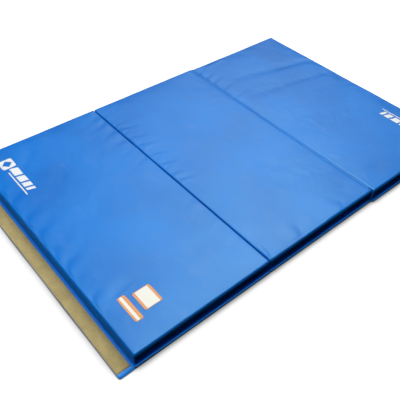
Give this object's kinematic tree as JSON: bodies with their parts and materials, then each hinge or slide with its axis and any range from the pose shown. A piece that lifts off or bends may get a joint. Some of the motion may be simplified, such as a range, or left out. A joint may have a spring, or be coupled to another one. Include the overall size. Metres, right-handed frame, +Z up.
{
  "type": "crash landing mat",
  "caption": "Folding gymnastics crash landing mat: three foam panels in blue vinyl covers, hinged accordion-style, with a hook-strip joining flap at one end.",
  "frame": {"origin": "centre of the middle panel's underside, on the floor", "axes": "+X along the mat, away from the end flap; +Y across it, towards the zips; +Z up, out of the landing face"},
  "size_m": [1.926, 1.249, 0.0603],
  "materials": {
    "cover_vinyl": "satin",
    "wall_vinyl": "satin",
    "base_vinyl": "satin",
    "hinge_vinyl": "satin",
    "flap_vinyl": "satin",
    "firm_foam": "matte",
    "soft_foam": "matte",
    "zip_tape": "matte",
    "zip_chain": "satin",
    "zip_metal": "satin",
    "hook_tape": "matte",
    "loop_tape": "matte",
    "white_print": "satin",
    "label": "satin"
  },
  "bodies": {
    "left_panel": {"top_sheet_left": "cover_vinyl", "boxing_left": "wall_vinyl", "zip_wall_left": "wall_vinyl", "bottom_sheet_left": "base_vinyl", "firm_foam_left": "firm_foam", "soft_foam_left": "soft_foam", "zip_tape_left": "zip_tape", "zip_chain_left": "zip_chain", "bottom_hinge_left": "hinge_vinyl", "print_left": "white_print", "square_label": "label", "narrow_label": "label"},
    "slider_left": {"zip_slider_left": "zip_metal"},
    "pull_left": {"zip_pull_left": "zip_metal"},
    "middle_panel": {"top_sheet_middle": "cover_vinyl", "boxing_middle": "wall_vinyl", "zip_wall_middle": "wall_vinyl", "bottom_sheet_middle": "base_vinyl", "firm_foam_middle": "firm_foam", "soft_foam_middle": "soft_foam", "zip_tape_middle": "zip_tape", "zip_chain_middle": "zip_chain", "bottom_hinge_middle": "hinge_vinyl", "top_hinge_middle": "hinge_vinyl"},
    "slider_middle": {"zip_slider_middle": "zip_metal"},
    "pull_middle": {"zip_pull_middle": "zip_metal"},
    "right_panel": {"top_sheet_right": "cover_vinyl", "boxing_right": "wall_vinyl", "zip_wall_right": "wall_vinyl", "bottom_sheet_right": "base_vinyl", "firm_foam_right": "firm_foam", "soft_foam_right": "soft_foam", "zip_tape_right": "zip_tape", "zip_chain_right": "zip_chain", "top_hinge_right": "hinge_vinyl", "loop_strip": "loop_tape", "print_right": "white_print"},
    "slider_right": {"zip_slider_right": "zip_metal"},
    "pull_right": {"zip_pull_right": "zip_metal"},
    "flap": {"end_flap": "flap_vinyl", "hook_strip": "hook_tape"}
  },
  "joints": [
    {"name": "top_fold", "type": "hinge", "parent": "right_panel", "child": "middle_panel", "pos_m": [0.309, 0, 0.061], "axis": [0, 1, 0], "range_deg": [0, 180]},
    {"name": "bottom_fold", "type": "hinge", "parent": "middle_panel", "child": "left_panel", "pos_m": [-0.309, 0, -0.0005], "axis": [0, -1, 0], "range_deg": [0, 180]},
    {"name": "flap_fold", "type": "hinge", "parent": "left_panel", "child": "flap", "pos_m": [-0.929, 0, 0.001], "axis": [0, 1, 0], "range_deg": [0, 90]},
    {"name": "zip_slide_left", "type": "slide", "parent": "left_panel", "child": "slider_left", "axis": [-1, 0, 0], "range_m": [0, 0.541]},
    {"name": "pull_swing_left", "type": "hinge", "parent": "slider_left", "child": "pull_left", "pos_m": [-0.3474, 0.6163, 0.03], "axis": [1, 0, 0], "range_deg": [0, 170]},
    {"name": "zip_slide_middle", "type": "slide", "parent": "middle_panel", "child": "slider_middle", "axis": [-1, 0, 0], "range_m": [0, 0.541]},
    {"name": "pull_swing_middle", "type": "hinge", "parent": "slider_middle", "child": "pull_middle", "pos_m": [0.2706, 0.6163, 0.03], "axis": [1, 0, 0], "range_deg": [0, 170]},
    {"name": "zip_slide_right", "type": "slide", "parent": "right_panel", "child": "slider_right", "axis": [-1, 0, 0], "range_m": [0, 0.541]},
    {"name": "pull_swing_right", "type": "hinge", "parent": "slider_right", "child": "pull_right", "pos_m": [0.8886, 0.6083, 0.03], "axis": [1, 0, 0], "range_deg": [0, 170]}
  ]
}
